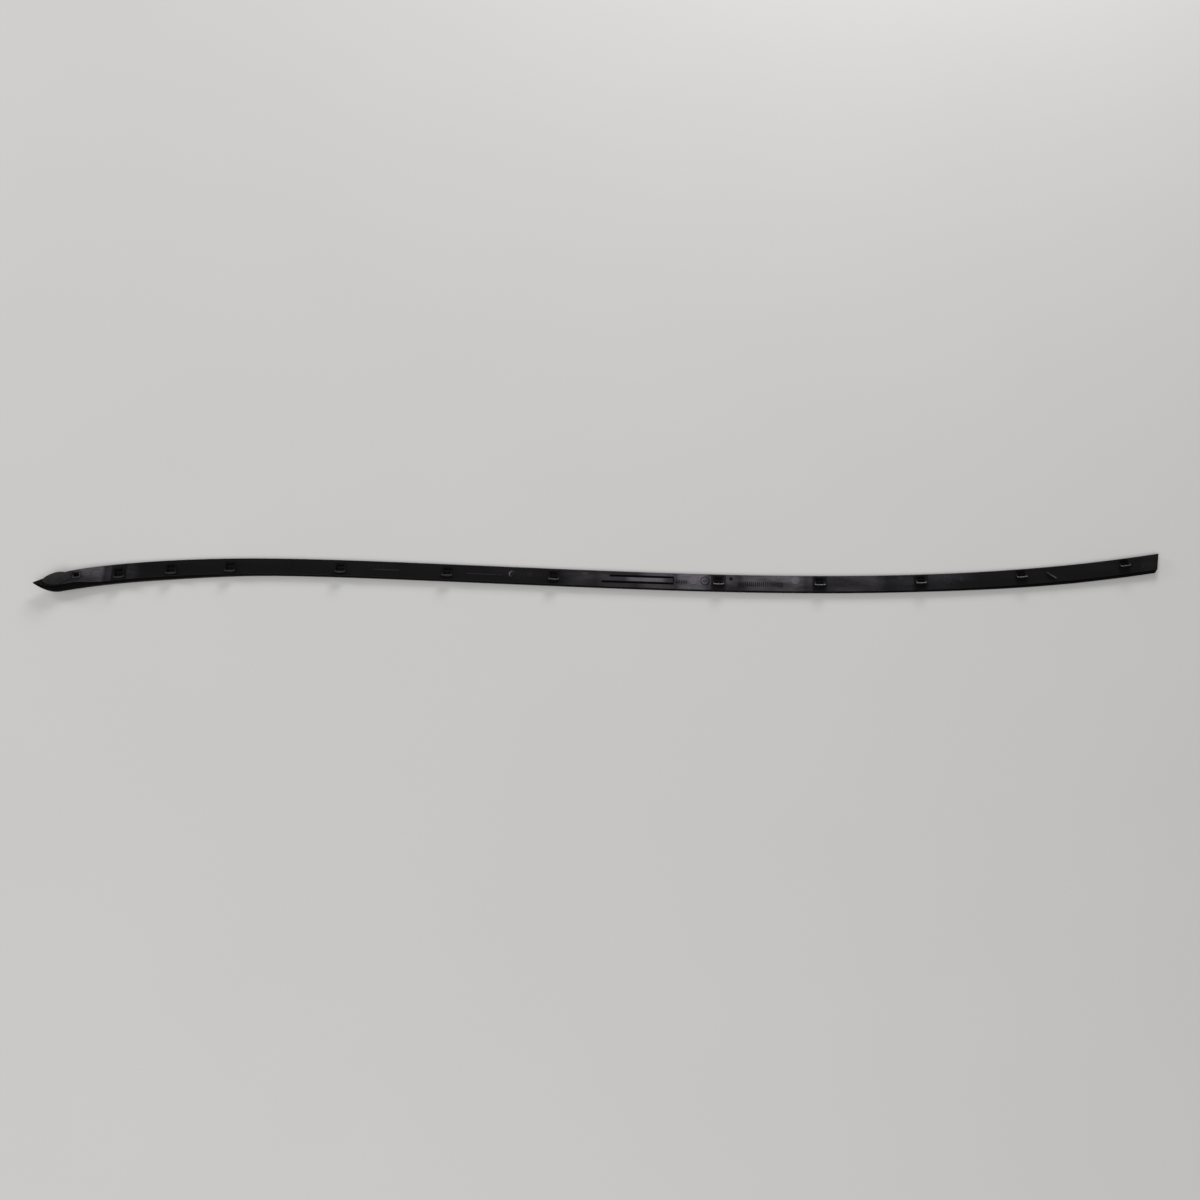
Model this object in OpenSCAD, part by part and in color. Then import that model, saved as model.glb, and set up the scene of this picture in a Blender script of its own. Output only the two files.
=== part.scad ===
// Windshield side moulding, lying on its outer face with the fixing side up.
// X runs along the strip from the pointed tip to the cut tail, Y runs from the
// glass side to the body side, and Z is up. The strip is lofted through
// sections that stand square to a swept path.

/* [Strip] */
// Length from the tip to the tail corner, measured along X
strip_l = 1126; // [1110:1:1180]
// Width across the strip
strip_w = 18.2; // [17:0.1:20]
// Thickness from the outer face to the inner face
body_t = 4; // [3.6:0.1:5]
// Thickness of the lip along the glass side
lip_t = 2; // [1.6:0.1:2.4]
// Width of the lip beyond the inner block along the middle of the strip
lip_w = 1; // [0.8:0.1:1.6]
// How much the lip flares out towards the tip
tip_flare = 2.2; // [0:0.1:2.8]
// Distance from the tip at which its flare begins to fade
tip_flare_l = 120; // [80:5:150]
// How much the lip flares out towards the tail
tail_flare = 1.4; // [0:0.1:2]
// Length of the tail's flare
tail_flare_l = 260; // [160:5:300]
// How much the lip also eats into the block at the tip
tip_lip_cut = 3.9; // [2:0.1:5]
// Length of that cut before it fades
tip_lip_l = 34; // [28:1:44]
// Length over which a flare or the cut fades
lip_fade_l = 30; // [20:1:50]

/* [Sweep] */
// How far the tip swings towards the glass side
tip_sweep = 35.5; // [20:0.5:60]
// Length of the swept tip part
tip_run = 444; // [400:1:520]
// How far the tail swings towards the body side
tail_sweep = 44.5; // [20:0.5:60]
// Length of the swept tail part
tail_run = 640; // [500:1:660]
// How far the tip rises off the floor
tip_lift = 6; // [3:0.5:10]
// Length of the rising tip part
tip_lift_run = 160; // [130:5:200]
// Length of the straight ramp at the tip, which carries the pad
tip_ramp_l = 62; // [56:1:80]
// How far the tail rises off the floor
tail_lift = 1; // [0:0.5:6]
// Length of the rising tail part
tail_lift_run = 200; // [150:5:260]

/* [Ends] */
// Length of the tip's taper on the glass side
tip_front_l = 24; // [20:1:40]
// Length of the tip's taper on the body side
tip_back_l = 50; // [30:1:60]
// Distance of the tip's point from the path, towards the body side
tip_point_v = 2.8; // [2:0.1:5]
// Width of the blunt point
tip_point_w = 0.8; // [0.6:0.1:1.2]
// Thickness of the blunt point
tip_point_t = 1.6; // [1.2:0.1:2.4]
// Slant of the tail cut against the Y axis, in degrees
tail_cut = 9; // [0:1:14]
// Corner radius of the tail on the glass side
tail_corner_r = 4.6; // [2:0.1:5]

/* [Clip pockets] */
// Distances of the first three pockets from the tip
tip_clips = [81, 132, 190.5];
// Distance of the pockets' middle row from the tip
mid_clip_at = 300.5; // [292:0.5:306]
// Pitch of the middle row
mid_clip_pitch = 107; // [104:0.5:108]
// Number of pockets in the middle row
mid_clips = 3; // [3:1:3]
// Distance of the last pocket from the tail corner
tail_clip_gap = 35.5; // [32:0.5:44]
// Distance of the tail row's last pocket from the tail corner
tail_row_gap = 141; // [134:1:146]
// Pitch of the tail row
tail_clip_pitch = 101.8; // [99:0.2:103]
// Number of pockets in the tail row
tail_clips = 4; // [4:1:4]
// Length of a pocket's cavity along the strip, at the hook bar
cavity_u = 8.4; // [7.6:0.2:10]
// Length of the cavity at the back wall
cavity_back_u = 6.8; // [6:0.2:7.4]
// Width of the cavity's deep part behind the hook bar
cavity_deep_v = 2.6; // [2:0.2:4]
// Depth of the cavity below the inner face
cavity_d = 2.4; // [1.4:0.1:2.6]
// Depth of the cavity at the back wall, where its ramp ends
cavity_back_d = 0.4; // [0.2:0.1:1]
// Height of the hook bar above the inner face
hook_h = 4; // [3.6:0.1:5]
// Thickness of the hook bar
hook_t = 1.6; // [1.2:0.1:1.8]
// Overhang of the hook's nose
hook_nose = 0.7; // [0.5:0.1:1]
// Slope of the hook bar's top, down towards its nose, in degrees
hook_slope = 21; // [10:1:30]
// Bulge of the hook bar's front face in plan
hook_bulge = 0.9; // [0.4:0.1:1.2]
// Thickness of a cheek
cheek_t = 1.1; // [1:0.1:2]
// Height of the cheeks at the hook bar
cheek_high_h = 2.4; // [1.6:0.1:2.8]
// Height of the cheeks at the back wall
cheek_low_h = 0.8; // [0.6:0.1:1.4]
// Thickness of the back wall
back_wall_t = 1.2; // [1:0.1:1.5]
// Margin of the plinth around the pocket
plinth_rim = 3.2; // [1:0.1:3.6]
// Margin of the plinth behind the back wall
plinth_back_rim = 0.4; // [0.2:0.1:0.6]
// Height of the plinth
plinth_h = 0.3; // [0.2:0.1:0.6]
// Gap from the inner block's edge to a hook bar at the tip
hook_edge_gap = 0; // [0:0.1:0.6]
// Drift of the hook bars towards the body side, from tip to tail
hook_drift = 6.7; // [5:0.1:7]
// Gap from a back wall to the body side's edge at the tip
back_wall_gap = 4.7; // [4.6:0.1:5.5]
// Drift of the back walls towards the body side, from tip to tail
back_wall_drift = 3.9; // [2:0.1:3.9]

/* [Coring and locators] */
// Length of the coring groove on the body side
groove_l = 67; // [50:1:80]
// Length of the coring groove on the glass side
front_groove_l = 75; // [60:1:90]
// Width of a coring groove
groove_w = 2.4; // [2:0.1:3.2]
// Distance of the grooves' middle from the path
groove_v = 0.8; // [-1:0.1:1]
// Depth of a coring groove
groove_d = 2.3; // [1.5:0.1:2.4]
// Spacing of the coring grooves
groove_pitch = 6.7; // [6:0.1:7.6]
// Length of the grooves' run-out ramps
groove_ramp_l = 12; // [6:1:20]
// Width of the slot that joins the grooves' square ends
groove_end_w = 1; // [0.8:0.1:1.6]
// Distance of the grooves' square ends from the tail corner
groove_end_gap = 491; // [484:1:500]
// Distance of the locating socket from the tip
socket_at = 40.6; // [40.6:0.2:48]
// Distance of the socket from the path
socket_v_at = 2.6; // [2:0.1:3.4]
// Length of the locating socket's frame
socket_u = 7.8; // [7:0.2:8]
// Width of the locating socket's frame
socket_v = 7.2; // [7:0.2:9]
// Height of the locating socket's frame
socket_h = 1.4; // [1:0.1:2]
// Wall of the locating socket's frame
socket_wall = 1.1; // [1:0.1:1.6]

/* [Tip pad] */
// Distance of the pad's near end from the tip
pad_at = 9; // [7:0.5:12]
// Length of the pad
pad_l = 27.2; // [24:0.2:27.2]
// Height of the pad above the inner face
pad_h = 5.5; // [3:0.1:6]
// Gap from the pad to the inner block's edge on the glass side
pad_rim = 0.3; // [0.2:0.1:0.9]
// How far the pad hangs over the edge on the body side
pad_overhang = 0.8; // [0:0.1:1]
// Distance of the pad's near end from the path
pad_end_v = 2.6; // [2:0.1:3]

/* [Hidden] */
$fn = 48;

// Edge rounding of the section
lip_edge_share = 0.6;
lip_edge_steps = 4;
front_edge_w = 3.4;
front_edge_h = 1.2;
back_edge_w = 4;
back_edge_h = 2.2;
back_top_r = 1;
step_edge_r = 0.4;

// Loft stations: fine ones at the tip, then even ones as far as the tail
fine_stations = 20;
fine_spread = 1.6;
fine_l = 42;
station_step = 12;
tail_station_gap = 14;
even_stations = round((strip_l - tail_station_gap - fine_l) / station_step);

// How deep a feature's foot is sunk into the strip: a hook's passes the lip's top
root = 1;
foot = body_t - lip_t + 0.4;
// A cut's overrun past the surface that it opens
over = 0.5;

half_w = strip_w / 2;
block_front_v = -half_w + lip_w;
first_hook_v = block_front_v + hook_edge_gap;
first_wall_v = half_w - back_wall_gap;
mid_row = [for (i = [0:mid_clips - 1]) mid_clip_at + i * mid_clip_pitch];
tail_row = [for (i = [tail_clips - 1:-1:0]) strip_l - tail_row_gap - i * tail_clip_pitch];
clips = concat(tip_clips, mid_row, tail_row, [strip_l - tail_clip_gap]);
pocket_u = cavity_u + 2 * cheek_t;

// Round marks of the mould's ejector pins: distance from the tip or, in the tail
// lists, from the tail corner, then distance from the path, then radius
tip_discs = [[472.5, 1, 3], [490.5, 1.8, 3], [546, 6, 2.5]];
tail_discs = [
    [471.4, 1.4, 4.3], [460, 1.3, 4.6], [369, 3.4, 4.3], [263, 5.6, 2.5], [216, 1.6, 4.4], [200, 0.9, 3.5]];
tip_dimples = [[59, 0.9, 5.6]];
tail_dimples = [[433.6, 4.2, 1.8], [21.4, 0.4, 5.3]];
function from_tip(marks) = [for (m = marks) [strip_l - m[0], m[1], m[2]]];
discs = concat(tip_discs, from_tip(tail_discs));
dimples = concat(tip_dimples, from_tip(tail_dimples));
mark_h = 0.35;
// Cross ribs: distance from the tip, distance from the path
rib_t = 0.9;
rib_h = 0.8;
cross_ribs = [[91.5, 1.3], [249, 2.5]];
cross_rib_l = 6;
// The slanted locating rib between the last pockets
slant_rib_gap = 111;
slant_rib_l = 11;
slant_rib_h = 2;
slant_rib_t = 1.4;
slant_rib_a = -41;
slant_rib_v = -1.3;

function mix(a, b, t) = a + (b - a) * t;
function part_of(x, l) = min(1, max(0, x / l));
function ease(t) = t * t * (3 - 2 * t);
function bow(t) = 1 - (1 - t) * (1 - t);

// The path in plan, its slope and its heading
function tip_share(x) = max(0, 1 - x / tip_run);
function tail_share(x) = max(0, 1 - (strip_l - x) / tail_run);
function path_y(x) = tail_sweep * pow(tail_share(x), 3) - tip_sweep * pow(tip_share(x), 4);
function path_slope(x) = 3 * tail_sweep / tail_run * pow(tail_share(x), 2)
    + 4 * tip_sweep / tip_run * pow(tip_share(x), 3);
function heading(x) = atan(path_slope(x));

// How far the strip is lifted off the floor: a straight ramp, then a parabola
lift_c = tip_lift / ((tip_lift_run - tip_ramp_l) * (tip_lift_run + tip_ramp_l));
function tip_rise(x) = x > tip_ramp_l ? lift_c * pow(max(0, tip_lift_run - x), 2)
    : lift_c * (tip_lift_run - tip_ramp_l) * (tip_lift_run + tip_ramp_l - 2 * x);
function tail_rise(x) = tail_lift * pow(max(0, 1 - (strip_l - x) / tail_lift_run), 2);
function lift(x) = tip_rise(x) + tail_rise(x);
function pitch(x) = atan(lift(x + 0.5) - lift(x - 0.5));

// A point at distance v from the path and height z over the outer face
function place(x, v, z) = let (h = heading(x), px = x - v * sin(h))
    [px, path_y(x) + v * cos(h), z + lift(px)];

// The section's edges in plan
function flare(x) = tip_flare * (1 - ease(part_of(x - tip_flare_l, 4 * lip_fade_l)))
    + tail_flare * ease(part_of(x - strip_l + tail_flare_l, 6 * lip_fade_l));
function front_v(x) = mix(tip_point_v - tip_point_w / 2, -half_w - flare(x), bow(part_of(x, tip_front_l)));
function back_v(x) = mix(tip_point_v + tip_point_w / 2, half_w, bow(part_of(x, tip_back_l)));
function lip_at(x) = lip_w + flare(x) + tip_lip_cut * (1 - ease(part_of(x - tip_lip_l, lip_fade_l)));
function depth_share(x) = mix(tip_point_t / body_t, 1, bow(part_of(x, tip_front_l)));
function width_at(x) = strip_w + flare(x);
function block_v(x) = mix(front_v(x), back_v(x), lip_at(x) / width_at(x));

function arc(c, rx, rz, from, to, n) =
    [for (i = [0:n]) let (a = mix(from, to, i / n)) [c[0] + rx * cos(a), c[1] + rz * sin(a)]];

// The section: distance from the glass side's edge, height over the outer face
function section(lip, w) = concat(
    arc([lip * lip_edge_share, front_edge_h], lip * lip_edge_share, lip_t - front_edge_h,
        90, 180, lip_edge_steps),
    arc([front_edge_w, front_edge_h], front_edge_w, front_edge_h, 180, 270, 4),
    arc([w - back_edge_w, back_edge_h], back_edge_w, back_edge_h, 270, 360, 5),
    arc([w - back_top_r, body_t - back_top_r], back_top_r, back_top_r, 0, 90, 3),
    arc([lip + step_edge_r, body_t - step_edge_r], step_edge_r, step_edge_r, 90, 180, 2),
    [[lip, lip_t]]);

// The section fitted between the strip's edges at x, as [v, z] pairs
function fitted(x) = let (w = width_at(x)) [for (p = section(lip_at(x), w))
    [mix(front_v(x), back_v(x), p[0] / w), body_t - (body_t - p[1]) * depth_share(x)]];
function ring(x) = [for (p = fitted(x)) place(x, p[0], p[1])];

// The tail's ring, slid along the path's direction onto the slanted cut
function tail_ring(x) = let (
        h = heading(x),
        along = [cos(h), sin(h)],
        normal = [cos(tail_cut), -sin(tail_cut)],
        back = [x - half_w * sin(h), path_y(x) + half_w * cos(h)],
        corner = back + along * (strip_l - back[0]) / along[0])
    [for (p = fitted(x)) let (
            q = [x - p[0] * sin(h), path_y(x) + p[0] * cos(h)],
            r = q + along * ((corner - q) * normal) / (along * normal))
        [r[0], r[1], p[1] + lift(r[0])]];

stations = concat(
    [for (i = [0:fine_stations - 1]) fine_l * pow(i / fine_stations, fine_spread)],
    [for (i = [0:even_stations]) mix(fine_l, strip_l - tail_station_gap, i / even_stations)]);
rings = concat([for (x = stations) ring(x)], [tail_ring(strip_l - tail_station_gap / 2)]);

// The row frame's origin lies under the middle of the strip's box
strip_points = [for (r = rings) each r];
function middle(axis) = let (s = [for (p = strip_points) p[axis]]) (min(s) + max(s)) / 2;
origin = [middle(0), middle(1), 0];

// A closed skin over rings that all have the same number of points
module loft(rings) {
    n = len(rings[0]);
    last = (len(rings) - 1) * n;
    sides = [for (i = [0:len(rings) - 2], j = [0:n - 1])
        let (a = i * n + j, b = i * n + (j + 1) % n)
        each [[a, a + n, b], [b, a + n, b + n]]];
    caps = [[for (j = [0:n - 1]) j], [for (j = [n - 1:-1:0]) last + j]];
    polyhedron([for (r = rings) each r], concat(sides, caps));
}

// Puts children on the inner face, turned along the path
module on_face(x, v) {
    translate(place(x, v, body_t)) rotate([0, -pitch(x), heading(x)]) children();
}

// A profile in [v, z], drawn out to a length along the strip
module along_strip(length, profile) {
    translate([-length / 2, 0, 0]) rotate([90, 0, 90]) linear_extrude(length) polygon(profile);
}

// A pocket's front and back, as distances from the path
function hook_v(x) = first_hook_v + hook_drift * x / strip_l;
function wall_v(x) = first_wall_v + back_wall_drift * x / strip_l;

// The hook bar: its top slopes down to an undercut nose, and it is bowed
// outwards in plan
hook_front_r = 0.5;
hook_nose_r = 0.3;
hook_top_w = hook_t + hook_nose - hook_front_r - hook_nose_r;
hook_nose_z = hook_h - hook_front_r
    + (hook_front_r - hook_nose_r - hook_top_w * sin(hook_slope)) / cos(hook_slope);

module hook_bar() {
    bow_r = (pow(pocket_u / 2, 2) + pow(hook_bulge, 2)) / (2 * hook_bulge);
    intersection() {
        along_strip(pocket_u, concat(
            [[0, -foot], [hook_t, -foot],
                [hook_t, hook_h / 2 - hook_nose / 2], [hook_t + hook_nose, hook_h / 2 + hook_nose / 2]],
            arc([hook_t + hook_nose - hook_nose_r, hook_nose_z], hook_nose_r, hook_nose_r,
                0, 90 - hook_slope, 2),
            arc([hook_front_r, hook_h - hook_front_r], hook_front_r, hook_front_r,
                90 - hook_slope, 180, 4)));
        translate([0, bow_r, -foot - over]) cylinder(r = bow_r, h = foot + hook_h + 2 * over);
    }
}

module cheek(depth) {
    along_strip(cheek_t, [
        [hook_t / 2, -foot], [depth, -foot], [depth, cheek_low_h],
        [hook_t + hook_nose, cheek_high_h], [hook_t / 2, cheek_high_h]]);
}

module back_wall(depth) {
    translate([-pocket_u / 2, depth - back_wall_t, -root])
        cube([pocket_u, back_wall_t, root + cheek_low_h]);
}

module plinth(depth) {
    translate([-pocket_u / 2 - plinth_rim, hook_t / 2, -root])
        cube([pocket_u + 2 * plinth_rim, depth + plinth_back_rim - hook_t / 2, root + plinth_h]);
}

// A clip pocket stands with its hook bar's face at v = 0 and reaches back to depth
module pocket(depth) {
    plinth(depth);
    hook_bar();
    for (side = [-1, 1]) translate([side * (cavity_u + cheek_t) / 2, 0, 0]) cheek(depth);
    back_wall(depth);
}

// The cavity: deep behind the bar, then a ramp up to the back wall, narrower there.
// It also parts the bar's nose into two lugs, one over each cheek.
module pocket_cavity(depth) {
    back = depth - back_wall_t;
    top = cheek_low_h + hook_h;
    intersection() {
        along_strip(cavity_u + over, [
            [hook_t, -cavity_d], [hook_t + cavity_deep_v, -cavity_d], [back, -cavity_back_d],
            [back, top], [hook_t, top]]);
        translate([0, 0, -cavity_d - over]) linear_extrude(cavity_d + top + 2 * over) polygon([
            [-cavity_u / 2, hook_t - over], [cavity_u / 2, hook_t - over],
            [cavity_u / 2, hook_t + cavity_deep_v], [cavity_back_u / 2, back + over],
            [-cavity_back_u / 2, back + over], [-cavity_u / 2, hook_t + cavity_deep_v]]);
    }
}

// The frame around the locating socket, and the socket itself
module socket_frame() {
    translate([-socket_u / 2, -socket_v / 2, -root]) cube([socket_u, socket_v, root + socket_h]);
}

module socket_hole() {
    translate([-socket_u / 2 + socket_wall, -socket_v / 2 + socket_wall, -cavity_d])
        cube([socket_u - 2 * socket_wall, socket_v - 2 * socket_wall, cavity_d + socket_h + over]);
}

// A coring groove from its square end at x = 0, with a ramp at the other end
module groove(length) {
    translate([0, groove_w / 2, 0]) rotate([90, 0, 0]) linear_extrude(groove_w)
        polygon([
            [0, over], [0, -groove_d], [groove_ramp_l - length, -groove_d], [-length, 0], [-length, over]]);
}

// The slot that joins the two grooves' square ends
module groove_end() {
    translate([-groove_end_w, -groove_pitch / 2, -groove_d])
        cube([groove_end_w, groove_pitch, groove_d + over]);
}

module disc(r) {
    translate([0, 0, -root]) cylinder(r = r, h = root + mark_h);
}

module dimple(r) {
    translate([0, 0, -mark_h]) cylinder(r = r, h = mark_h + over);
}

module straight_rib(length, thickness, height) {
    translate([-thickness / 2, -length / 2, -root]) cube([thickness, length, root + height]);
}

// What is cut off the tail's corner on the glass side, outside its arc
module tail_corner() {
    tip = tail_ring(strip_l - tail_station_gap / 2)[lip_edge_steps];
    corner = [tip[0], tip[1]];
    h = heading(strip_l - tail_station_gap / 2);
    half_angle = (90 + h + tail_cut) / 2;
    bisector = [-sin(half_angle - tail_cut), cos(half_angle - tail_cut)];
    centre = corner + bisector * tail_corner_r / sin(half_angle);
    reach = tail_corner_r / tan(half_angle);
    translate([0, 0, -over]) linear_extrude(body_t + tail_lift + 2 * over) difference() {
        polygon([
            centre, corner - reach * [cos(h), sin(h)],
            corner - bisector * tail_corner_r, corner + reach * [sin(tail_cut), cos(tail_cut)]]);
        translate(centre) circle(tail_corner_r);
    }
}

module moulding() {
    color([0.03, 0.03, 0.035]) translate(-origin) difference() {
        union() {
            loft(rings);
            for (x = clips) on_face(x, hook_v(x)) pocket(wall_v(x) - hook_v(x));
            on_face(socket_at, socket_v_at) socket_frame();
            for (m = discs) on_face(m[0], m[1]) disc(m[2]);
            for (r = cross_ribs) on_face(r[0], r[1]) straight_rib(cross_rib_l, rib_t, rib_h);
            on_face(strip_l - slant_rib_gap, slant_rib_v) rotate(90 + slant_rib_a)
                straight_rib(slant_rib_l, slant_rib_t, slant_rib_h);
        }
        for (x = clips) on_face(x, hook_v(x)) pocket_cavity(wall_v(x) - hook_v(x));
        on_face(socket_at, socket_v_at) socket_hole();
        for (m = dimples) on_face(m[0], m[1]) dimple(m[2]);
        on_face(strip_l - groove_end_gap, groove_v + groove_pitch / 2) groove(groove_l);
        on_face(strip_l - groove_end_gap, groove_v - groove_pitch / 2) groove(front_groove_l);
        on_face(strip_l - groove_end_gap, groove_v) groove_end();
        tail_corner();
    }
}

// The foam pad: a leaf with a flat foot on the tip's ramp and a crowned top
pad_stations = 14;
pad_points = 10;
pad_skew = 0.85;
pad_least_swell = 0.2;
function pad_share(x) = part_of(x - pad_at, pad_l);
function pad_swell(x) = sqrt(max(pow(pad_least_swell, 2), 1 - pow(2 * pow(pad_share(x), pad_skew) - 1, 2)));
function pad_axis(x) = pad_end_v * (1 - pad_share(x));
function pad_front(x) = mix(pad_axis(x), block_v(x) + pad_rim, pad_swell(x));
function pad_back(x) = mix(pad_axis(x), back_v(x) + pad_overhang, pad_swell(x));
function pad_ring(x) = [for (i = [0:pad_points])
    let (a = 180 * i / pad_points, v = mix(pad_front(x), pad_back(x), (1 + cos(a)) / 2))
    place(x, v, body_t + pad_h * pad_swell(x) * sqrt(max(0, sin(a))))];

module tip_pad() {
    color([0.09, 0.09, 0.1]) translate(-origin)
        loft([for (i = [0:pad_stations]) pad_ring(pad_at + pad_l * (1 - cos(180 * i / pad_stations)) / 2)]);
}

moulding();
tip_pad();
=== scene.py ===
"""Windshield side moulding, dressed for the picture: camera, moulding, tip pad, relief, floor and light."""
import math

import bpy
from mathutils import Matrix, Vector


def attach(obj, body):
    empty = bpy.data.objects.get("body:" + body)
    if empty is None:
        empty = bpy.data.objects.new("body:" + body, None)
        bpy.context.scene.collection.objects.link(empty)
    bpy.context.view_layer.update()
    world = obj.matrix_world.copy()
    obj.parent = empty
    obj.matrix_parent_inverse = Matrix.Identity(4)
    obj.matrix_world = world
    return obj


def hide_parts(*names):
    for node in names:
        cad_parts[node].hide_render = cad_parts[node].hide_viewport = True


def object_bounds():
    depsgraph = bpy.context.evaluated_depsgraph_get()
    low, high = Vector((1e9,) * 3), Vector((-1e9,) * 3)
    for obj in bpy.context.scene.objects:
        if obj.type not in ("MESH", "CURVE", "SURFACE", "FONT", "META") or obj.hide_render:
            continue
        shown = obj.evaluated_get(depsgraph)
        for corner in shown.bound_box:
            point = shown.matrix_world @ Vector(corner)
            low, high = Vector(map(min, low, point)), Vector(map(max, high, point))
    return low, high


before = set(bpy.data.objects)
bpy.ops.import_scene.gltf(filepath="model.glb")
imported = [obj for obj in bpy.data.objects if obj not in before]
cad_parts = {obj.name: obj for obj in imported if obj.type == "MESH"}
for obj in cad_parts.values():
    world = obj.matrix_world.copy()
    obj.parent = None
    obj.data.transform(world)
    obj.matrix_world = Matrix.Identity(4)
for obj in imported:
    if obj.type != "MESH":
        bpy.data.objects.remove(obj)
cad_low, cad_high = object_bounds()
millimetre = 0.001

# The camera stands in front of the glass side and looks steeply down across
# the strip. It is rolled a little, so that the strip runs down to the right.
camera_elevation = math.radians(67)
camera_roll = math.radians(2.418)
camera_distance = 1.675
camera_lens, camera_sensor, picture_side = 50.01, 36.0, 1200
aim = Vector((0.49, -6.82, 0)) * millimetre
aim_right_px, aim_up_px = 2.04, 19.67
pixel_at_aim = camera_distance * camera_sensor / (camera_lens * picture_side)

bpy.ops.object.camera_add()
camera = bpy.context.object
camera.name = "picture_camera"
camera.data.lens = camera_lens
camera.data.sensor_width = camera_sensor
camera.data.clip_start, camera.data.clip_end = 0.05, 20
camera_turn = Matrix.Rotation(math.pi / 2 - camera_elevation, 4, "X") @ Matrix.Rotation(camera_roll, 4, "Z")
aim_in_view = Vector((aim_right_px * pixel_at_aim, aim_up_px * pixel_at_aim, -camera_distance))
camera.matrix_world = Matrix.Translation(aim - camera_turn @ aim_in_view) @ camera_turn
bpy.context.scene.camera = camera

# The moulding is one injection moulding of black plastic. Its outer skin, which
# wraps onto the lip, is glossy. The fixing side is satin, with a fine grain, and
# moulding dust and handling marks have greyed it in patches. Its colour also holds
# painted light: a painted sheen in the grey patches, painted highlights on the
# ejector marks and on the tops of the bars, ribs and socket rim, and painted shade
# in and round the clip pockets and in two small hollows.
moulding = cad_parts["moulding"]
strip_length, half_width = 1126 * millimetre, 9.1 * millimetre
tip_x = cad_high.x - strip_length
tip_lift_run, tip_ramp, tip_lift = 160 * millimetre, 62 * millimetre, 6 * millimetre
tail_lift_run, tail_lift = 200 * millimetre, 1 * millimetre
tail_run, tail_sweep, path_start_y = 640 * millimetre, 44.5 * millimetre, -6.82 * millimetre
skin_height, face_height = 2.5 * millimetre, 4 * millimetre
# The lists and values from here to the helpers are in millimetres, and places
# along the strip are distances from the tip
socket_start, socket_end, socket_rim = 36.8, 44.4, 1.4
slanted_rib_start, slanted_rib_end = 1007, 1023
cross_ribs, cross_rib_reach = (91.5, 249), 1.2
# Clip pockets round which the face gets painted shade, and half the length of that shade
shaded_pockets, pocket_shade_half = (81, 679.6, 781.4, 883.2), 7.5
pip_stretches = ((332, 361), (426, 464))
groove_land_start, groove_land_end, groove_land_low, groove_land_high = 588, 628, -1.3, 2.9
# Start, end, fade and amount of each stretch of dust and painted sheen: the pale
# stretches near the tip and from about 540 to 845 are partly a painted sheen of the lamp
dust_and_sheen_stretches = (
    (28, 66, 3, 0.72), (66, 98, 8, 0.25), (440, 525, 30, 0.04), (528, 556, 20, 0.24),
    (556, 600, 12, 0.22), (600, 640, 12, 0.45), (638, 668, 6, 0.85), (668, 702, 8, 0.44),
    (702, 765, 10, 0.68), (765, 845, 12, 0.33), (845, 930, 25, 0.12), (1108, 1126, 10, 0.06))
# Painted highlights, pale crescents on the lit side of ejector marks: distance,
# distance from the middle, radius, which way the clear part lies in X and Y, and how pale
highlight_crescents = (
    (472.5, 1.0, 3.2, 1.1, -0.3, 1.0), (59, 0.9, 5.8, -1.6, 0, 0.50), (59, 0.9, 3.6, -0.8, 0, 0.20),
    (910, 1.6, 4.2, -1.0, 0, 0.08), (926, 0.9, 3.4, 1.6, 1.0, 0.09), (863, 5.6, 2.5, 0, 1.1, 0.15),
    (546, 6.0, 2.5, 0, 1.1, 0.20), (1104.6, 0.4, 5.3, -1.2, 0, 0.06))
# Marks that are paler or darker all over: the paler ones are dusty ejector marks,
# the darker ones painted shade in the tip dimple and in a small hole. Distance,
# distance from the middle, radius and how much
even_marks = (
    (59, 0.9, 5.2, -0.22), (692.4, 4.2, 1.8, -0.45), (654.6, 1.4, 4.3, 0.14), (757, 3.4, 4.3, 0.28))
# How much dust lies everywhere, how much dust and painted sheen on the land between
# the grooves, how much dust on raised marks and on pips, and how much of it painted
# shade takes away round the clip pockets
even_dust, land_dust_and_sheen, raised_dust, pip_dust, pocket_shade_share = 0.02, 0.85, 0.018, 0.28, 0.8


def back_edge(x):
    """Where the strip's body side lies at x, found on the CAD model."""
    beside, inwards = Vector((x, 0.2, 3 * millimetre)), Vector((0, -1, 0))
    _, place, _, _ = moulding.ray_cast(beside, inwards)
    return place.y


def on_face(distance, across):
    """The face's point at a distance from the tip and from the strip's middle, and the heading there."""
    x, reach = tip_x + distance * millimetre, 4 * millimetre
    heading = math.atan((back_edge(x + reach) - back_edge(x - reach)) / (2 * reach))
    y = back_edge(x) - (half_width - across * millimetre) / math.cos(heading)
    return Vector((x, y, face_height)), heading


def new_material(name):
    """A material with a shader and an output alone, and what makes its nodes."""
    material = bpy.data.materials.new(name)
    material.use_nodes = True
    nodes, links = material.node_tree.nodes, material.node_tree.links
    nodes.clear()
    shader = nodes.new("ShaderNodeBsdfPrincipled")
    output = nodes.new("ShaderNodeOutputMaterial")
    links.new(shader.outputs["BSDF"], output.inputs["Surface"])

    def put(kind, settings=(), **inputs):
        """Adds a node. An input named i and a number is found by its place, and any other by its name."""
        made = nodes.new("ShaderNode" + kind)
        for key, value in dict(settings).items():
            setattr(made, key, value)
        for key, value in inputs.items():
            socket = made.inputs[int(key[1:])] if key[1:].isdigit() else made.inputs[key]
            if isinstance(value, bpy.types.NodeSocket):
                links.new(value, socket)
            else:
                socket.default_value = value
        return made

    return material, shader, put, links


def calculate(put, operation, first, second=0.0):
    """The value of one Math node."""
    return put("Math", {"operation": operation}, i0=first, i1=second).outputs[0]


def times(put, *values):
    """The product of several values."""
    product = values[0]
    for value in values[1:]:
        product = calculate(put, "MULTIPLY", product, value)
    return product


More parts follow.
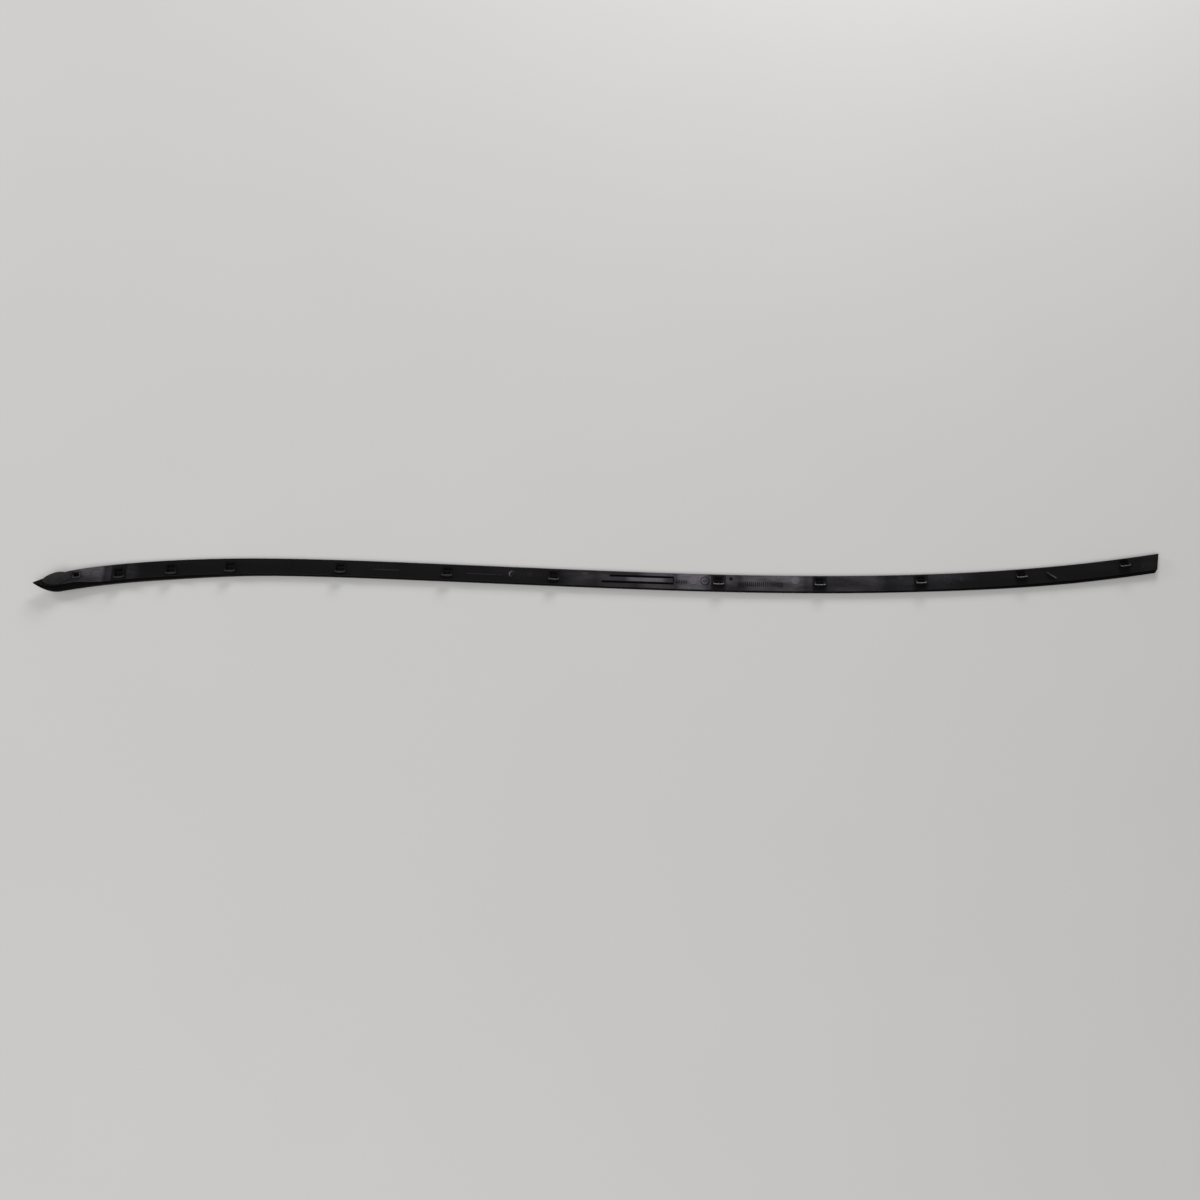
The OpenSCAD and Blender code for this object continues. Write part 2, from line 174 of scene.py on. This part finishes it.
def fade(put, value, start, end, low=0.0, high=1.0):
    """A smooth step of a value, from low at start to high at end."""
    smooth = {"interpolation_type": "SMOOTHSTEP"}
    return put("MapRange", smooth, i0=value, i1=start, i2=end, i3=low, i4=high).outputs[0]


def patch(put, place, start, end, soft):
    """A soft-ended stretch: 1 between start and end, 0 outside."""
    rising = fade(put, place, start - soft, start + soft)
    return times(put, rising, fade(put, place, end - soft, end + soft, 1.0, 0.0))


def blend(put, share, first, second):
    """A colour that goes from the first to the second as share goes from 0 to 1."""
    return put("Mix", {"data_type": "RGBA"}, Factor=share, i6=first, i7=second).outputs[2]


black_plastic, shader, put, links = new_material("black_moulded_plastic")
coordinates = put("TexCoord").outputs["Object"]
split = put("SeparateXYZ", i0=coordinates)
along, height = split.outputs["X"], split.outputs["Z"]


def parabola(sign, start, share):
    """share times the square of how far a point lies past start, which way sign says."""
    past = calculate(put, "MAXIMUM", times(put, calculate(put, "SUBTRACT", along, start), sign))
    return times(put, past, past, share)


tip_share = tip_lift / (tip_lift_run ** 2 - tip_ramp ** 2)
tip_curve = parabola(-1, tip_x + tip_lift_run, tip_share)
tip_rise = calculate(put, "SUBTRACT", tip_curve, parabola(-1, tip_x + tip_ramp, tip_share))
tail_rise = parabola(1, cad_high.x - tail_lift_run, tail_lift / tail_lift_run ** 2)
above_skin = calculate(put, "SUBTRACT", height, calculate(put, "ADD", tip_rise, tail_rise))
fixing_side = fade(put, above_skin, skin_height, skin_height + 0.6 * millimetre)


def over_face(start, end, low=0.0, high=1.0):
    """A smooth step of the height over the fixing face, from start to end in millimetres."""
    first, last = face_height + start * millimetre, face_height + end * millimetre
    return fade(put, above_skin, first, last, low, high)


def stretch(start, end, soft):
    """1 between two distances from the tip and 0 outside them, in millimetres."""
    return patch(put, along, tip_x + start * millimetre, tip_x + end * millimetre, soft * millimetre)


# Each kind of surface is told by its height over the face, and the socket and the
# ribs also by where they stand
face = times(put, over_face(-0.6, -0.45), over_face(0.42, 0.5, 1.0, 0.0))
raised = times(put, face, over_face(0.315, 0.335))
cheeks = times(put, over_face(0.55, 0.7), over_face(1.9, 2.0, 1.0, 0.0))
bar_top = over_face(2.7, 2.9)
hollow = times(put, fixing_side, over_face(-0.58, -0.4, 1.0, 0.0))
rim_top = times(
    put, over_face(socket_rim - 0.2, socket_rim - 0.1),
    over_face(socket_rim + 0.1, socket_rim + 0.2, 1.0, 0.0), stretch(socket_start, socket_end, 0.5))
rib_top = times(put, over_face(1.7, 1.9), stretch(slanted_rib_start, slanted_rib_end, 0.5))
at_cross_rib_height = over_face(0.65, 0.72)
for cross_rib in cross_ribs:
    here = stretch(cross_rib - cross_rib_reach, cross_rib + cross_rib_reach, 0.2)
    rib_top = calculate(put, "MAXIMUM", rib_top, times(put, at_cross_rib_height, here, 0.6))

drawn_out = put("Mapping", Vector=coordinates, Scale=(0.45, 1.6, 1.0)).outputs[0]
mottle = put("TexNoise", i2=60.0, i3=4.0, i4=0.55, Vector=drawn_out).outputs["Fac"]
slanting = put("Mapping", Vector=coordinates, Rotation=(0, 0, 0.6), Scale=(1.0, 4.0, 1.0)).outputs[0]
smears = put("TexNoise", i2=14.0, i3=3.0, i4=0.6, Vector=slanting).outputs["Fac"]
clouds = fade(put, calculate(put, "ADD", mottle, smears), 0.70, 1.24, 0.26, 1.10)
specks = put("TexNoise", i2=520.0, i3=2.0, Vector=drawn_out).outputs["Fac"]
cloudy = times(put, clouds, fade(put, specks, 0.3, 0.7, 0.86, 1.16))

# The dust settled more towards the body side, so it needs the place across the strip
past_tail_run = calculate(put, "MAXIMUM", calculate(put, "SUBTRACT", along, cad_high.x - tail_run))
sweep = times(put, calculate(put, "POWER", past_tail_run, 3.0), tail_sweep / tail_run ** 3)
across = calculate(put, "SUBTRACT", split.outputs["Y"], calculate(put, "ADD", sweep, path_start_y))
settled = fade(put, across, -5 * millimetre, 5 * millimetre, 0.72, 1.25)

zones = even_dust
for start, end, soft, amount in dust_and_sheen_stretches:
    zones = calculate(put, "MAXIMUM", zones, times(put, stretch(start, end, soft), amount))
# Painted shade round the clip pockets, where the hook towers shade the face
for pocket in shaded_pockets:
    pocket_shade = times(put, stretch(pocket - pocket_shade_half, pocket + pocket_shade_half, 0.5), pocket_shade_share)
    zones = times(put, zones, calculate(put, "SUBTRACT", 1.0, pocket_shade))
# The land between the two grooves is paler, with dust and painted sheen
between_grooves = patch(
    put, across, groove_land_low * millimetre, groove_land_high * millimetre, 0.4 * millimetre)
groove_land = times(put, stretch(groove_land_start, groove_land_end, 6), between_grooves, land_dust_and_sheen)
zones = calculate(put, "MAXIMUM", zones, groove_land)
# Raised marks and pips catch a little more dust than the face round them
zones = times(put, zones, calculate(put, "ADD", times(put, raised, 0.1), 1.0))
zones = calculate(put, "ADD", zones, times(put, raised, raised_dust))
for start, end in pip_stretches:
    zones = calculate(put, "ADD", zones, times(put, raised, stretch(start, end, 1), pip_dust))
flat = put("CombineXYZ", X=along, Y=split.outputs["Y"]).outputs[0]


def circle(centre, radius):
    """1 inside a circle on the face, 0 outside it."""
    away = put("VectorMath", {"operation": "DISTANCE"}, i0=flat, i1=(centre.x, centre.y, 0))
    return fade(put, away.outputs["Value"], radius - 0.2 * millimetre, radius + 0.2 * millimetre, 1.0, 0.0)


# Painted highlights: a pale crescent on the lit side of each ejector mark
for distance, offset, radius, clear_x, clear_y, amount in highlight_crescents:
    centre, _ = on_face(distance, offset)
    clear = circle(centre + Vector((clear_x, clear_y, 0)) * millimetre, radius * millimetre)
    not_clear = calculate(put, "SUBTRACT", 1.0, clear)
    crescent = times(put, circle(centre, radius * millimetre), not_clear, amount)
    zones = calculate(put, "ADD", zones, crescent)
# The paler marks are dust; the darker ones are painted shade in hollows
for distance, offset, radius, amount in even_marks:
    centre, _ = on_face(distance, offset)
    zones = calculate(put, "ADD", zones, times(put, circle(centre, radius * millimetre), amount))
# The grey mask is dust and painted sheen, with painted highlights added and painted shade taken away
dust_and_sheen = times(put, cloudy, settled, zones, face)

# The second black is painted shade, for the hollows of the clip pockets and for the pocket cheeks
plastic_black, painted_shade_black = (0.0038, 0.0034, 0.0037, 1), (0.0004, 0.0004, 0.0005, 1)
dust_and_sheen_grey = (0.138, 0.124, 0.142, 1)
# The bar, rim and rib greys are painted highlights on the tops of the hook bars, the socket rim and the
# ribs
bar_highlight_grey, rim_highlight_grey, rib_highlight_grey = (0.030, 0.030, 0.033, 1), (0.046, 0.043, 0.046, 1), (0.075, 0.070, 0.075, 1)
rib_top = times(put, rib_top, fade(put, mottle, 0.4, 0.6, 0.35, 1.0))
colour = blend(put, dust_and_sheen, plastic_black, dust_and_sheen_grey)
colour = blend(put, bar_top, colour, bar_highlight_grey)
colour = blend(put, rim_top, colour, rim_highlight_grey)
colour = blend(put, rib_top, colour, rib_highlight_grey)
# Painted shade: the hollows behind the hooks turn fully, and the pocket cheeks mostly, to a near black, but
# not the rib and rim tops with their painted highlights
not_highlit_top = calculate(put, "SUBTRACT", 1.0, calculate(put, "MAXIMUM", rib_top, rim_top))
shaded = calculate(put, "MAXIMUM", hollow, times(put, cheeks, 0.8, not_highlit_top))
links.new(blend(put, shaded, colour, painted_shade_black), shader.inputs["Base Color"])

gloss_roughness, satin_roughness = 0.2, 0.44
worn = calculate(put, "SUBTRACT", times(put, dust_and_sheen, 0.2), times(put, bar_top, 0.14))
dull = calculate(put, "ADD", times(put, hollow, 0.5), times(put, cheeks, 0.35))
satin = calculate(put, "ADD", calculate(put, "ADD", worn, satin_roughness), dull)
roughness = put("Mix", {"data_type": "FLOAT"}, Factor=fixing_side, i2=gloss_roughness, i3=satin)
links.new(roughness.outputs[0], shader.inputs["Roughness"])
shader.inputs["Specular IOR Level"].default_value = 0.13
soft_edges = put("Bevel", {"samples": 4}, Radius=0.2 * millimetre).outputs[0]
grain = put("TexNoise", i2=2400.0, i3=3.0, Vector=coordinates).outputs["Fac"]
grain = times(put, grain, fixing_side)
grained = put("Bump", i0=0.2, i1=0.05 * millimetre, Height=grain, Normal=soft_edges)
links.new(grained.outputs[0], shader.inputs["Normal"])
moulding.data.materials.clear()
moulding.data.materials.append(black_plastic)

# The tip pad is a leaf of charcoal foam, cut from sheet and stuck by its flat
# foot onto the ramp at the tip. Its top is crowned and its skin is open-pored.
bpy.ops.object.select_all(action="DESELECT")
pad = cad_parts["tip_pad"].copy()
pad.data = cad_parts["tip_pad"].data.copy()
pad.name = pad.data.name = "tip_pad_foam"
for key in list(pad.keys()):
    del pad[key]
bpy.context.scene.collection.objects.link(pad)
pad.parent = None
pad.select_set(True)
bpy.context.view_layer.objects.active = pad
bpy.ops.object.mode_set(mode="EDIT")
bpy.ops.mesh.select_all(action="SELECT")
bpy.ops.mesh.remove_doubles(threshold=0.01 * millimetre)
bpy.ops.object.mode_set(mode="OBJECT")
remesh = pad.modifiers.new("even_skin", "REMESH")
remesh.mode, remesh.voxel_size = "VOXEL", 0.4 * millimetre
soften = pad.modifiers.new("soft_edges", "SMOOTH")
soften.factor, soften.iterations = 0.5, 6
for modifier in ("even_skin", "soft_edges"):
    bpy.ops.object.modifier_apply(modifier=modifier)
bpy.ops.object.shade_smooth()

foam, shader, put, links = new_material("charcoal_foam")
foam_black, foam_scuffed = (0.0034, 0.0030, 0.0030, 1), (0.0125, 0.0110, 0.0108, 1)
coordinates = put("TexCoord").outputs["Object"]
cells = put("TexVoronoi", i2=1500.0, Vector=coordinates).outputs["Distance"]
scuffs = put("TexNoise", i2=160.0, i3=4.0, i4=0.65, Vector=coordinates).outputs["Fac"]
colour = blend(put, fade(put, scuffs, 0.35, 0.65), foam_black, foam_scuffed)
links.new(colour, shader.inputs["Base Color"])
shader.inputs["Roughness"].default_value = 0.88
links.new(put("Bump", i0=0.5, i1=0.15 * millimetre, Height=cells).outputs[0], shader.inputs["Normal"])
pad.data.materials.clear()
pad.data.materials.append(foam)
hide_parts("tip_pad")
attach(pad, "root")

# The fine relief of the mould is one with the strip: rows of small raised ticks and
# pips, the thin burrs round three ejector marks and a dial ring with its pointer. All
# its sizes and places are in millimetres.
edge_softness = 0.08
disc_height = 0.35
# Name, number, first distance, pitch, distance from the middle, length, width, relief
rows = (
    ("long_tick_row", 22, 700.5, 2.05, -1.3, 4.8, 0.7, 0.55),
    ("short_tick_row", 7, 637.5, 1.7, -0.4, 3.4, 0.6, 0.55),
    ("long_pip_row", 19, 427.5, 1.9, -0.6, 1.4, 0.9, 0.35),
    ("short_pip_row", 11, 334, 2.4, -0.2, 1.7, 1.0, 0.35))
# Distance, distance from the middle, radius and thickness
burrs = ((472.5, 1.0, 3.0, 0.7), (490.5, 1.8, 3.0, 0.6), (910, 1.6, 4.4, 0.7))
dial_distance, dial_across, dial_radius, dial_bead = 666.1, 1.3, 4.1, 0.72
# How far each hand of the dial stands aside, and its length
dial_hands, hand_width, hand_relief, hand_turn = ((0, 4.6), (-1.5, 2.6), (1.5, 2.6)), 0.6, 0.25, -0.2


def block(place, heading, width, length, relief):
    """A small block with softened edges, half sunk in the face."""
    bpy.ops.object.select_all(action="DESELECT")
    bpy.ops.mesh.primitive_cube_add(size=1, location=place, rotation=(0, 0, heading))
    made = bpy.context.object
    made.scale = Vector((width, length, 2 * relief)) * millimetre
    bpy.ops.object.transform_apply()
    bpy.ops.object.mode_set(mode="EDIT")
    bpy.ops.mesh.select_all(action="SELECT")
    bpy.ops.mesh.bevel(offset=edge_softness * millimetre, segments=2, affect="EDGES")
    bpy.ops.object.mode_set(mode="OBJECT")
    return made


def bead(place, radius, thickness):
    """A low round bead, half sunk in the face and flatter than it is broad."""
    bpy.ops.object.select_all(action="DESELECT")
    bpy.ops.mesh.primitive_torus_add(
        location=place, major_radius=radius * millimetre, minor_radius=thickness / 2 * millimetre,
        major_segments=48, minor_segments=10)
    bpy.ops.object.transform_apply()
    bpy.ops.object.mode_set(mode="EDIT")
    bpy.ops.mesh.select_all(action="SELECT")
    bpy.ops.transform.resize(value=(1, 1, 0.85), center_override=place)
    bpy.ops.object.mode_set(mode="OBJECT")
    return bpy.context.object


def join(parts, name):
    """Joins the parts into one piece of the moulding, with its material."""
    bpy.ops.object.select_all(action="DESELECT")
    for part in parts:
        part.select_set(True)
    bpy.context.view_layer.objects.active = parts[0]
    bpy.ops.object.join()
    piece = bpy.context.object
    piece.name = piece.data.name = name
    piece.data.materials.clear()
    piece.data.materials.append(black_plastic)
    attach(piece, "root")


for name, number, first, pitch, offset, length, width, relief in rows:
    join([block(*on_face(first + pitch * i, offset), width, length, relief) for i in range(number)], name)
rings = []
for distance, offset, radius, thickness in burrs:
    place, _ = on_face(distance, offset)
    rings.append(bead(place, radius, thickness))
join(rings, "ejector_burrs")

dial_place, _ = on_face(dial_distance, dial_across)
dial_place.z += disc_height * millimetre
hands = [block(dial_place + Vector((aside, 0, 0)) * millimetre, hand_turn, hand_width, length, hand_relief)
         for aside, length in dial_hands]
join([bead(dial_place, dial_radius, dial_bead)] + hands, "dial_ring")

# The floor is a plain pale sheet. The light is a soft window lamp behind the strip,
# a small lamp beside its tip and a wide fill in front, under an even pale surround.
bpy.ops.object.select_all(action="DESELECT")
bpy.ops.mesh.primitive_plane_add(size=30)
floor = bpy.context.object
floor.name = floor.data.name = "pale_floor"
floor_paint, shader, put, links = new_material("pale_floor_paint")
fleck = put("TexNoise", i2=6.0, i3=2.0, Vector=put("TexCoord").outputs["Object"]).outputs["Fac"]
links.new(blend(put, fleck, (0.70, 0.69, 0.67, 1), (0.72, 0.71, 0.69, 1)), shader.inputs["Base Color"])
shader.inputs["Roughness"].default_value = 0.7
floor.data.materials.append(floor_paint)


def soft_lamp(name, place, width, height, power):
    """A rectangular area lamp that faces the middle of the strip."""
    bpy.ops.object.light_add(type="AREA", location=place)
    lamp = bpy.context.object
    lamp.name = lamp.data.name = name
    lamp.data.shape, lamp.data.size, lamp.data.size_y, lamp.data.energy = "RECTANGLE", width, height, power
    lamp.rotation_euler = (-Vector(place)).to_track_quat("-Z", "Y").to_euler()


soft_lamp("window_light", (0.45, 2.2, 0.95), 1.0, 0.7, 31)
soft_lamp("side_light", (-2.2, 0.9, 0.75), 0.5, 0.5, 12)
soft_lamp("front_fill", (-0.5, -1.9, 2.4), 2.4, 1.8, 48)
surround = bpy.data.worlds.new("pale_surround")
surround.use_nodes = True
surround.node_tree.nodes["Background"].inputs["Color"].default_value = (0.9, 0.92, 0.95, 1)
surround.node_tree.nodes["Background"].inputs["Strength"].default_value = 0.22
bpy.context.scene.world = surround
bpy.context.scene.view_settings.view_transform = "Standard"
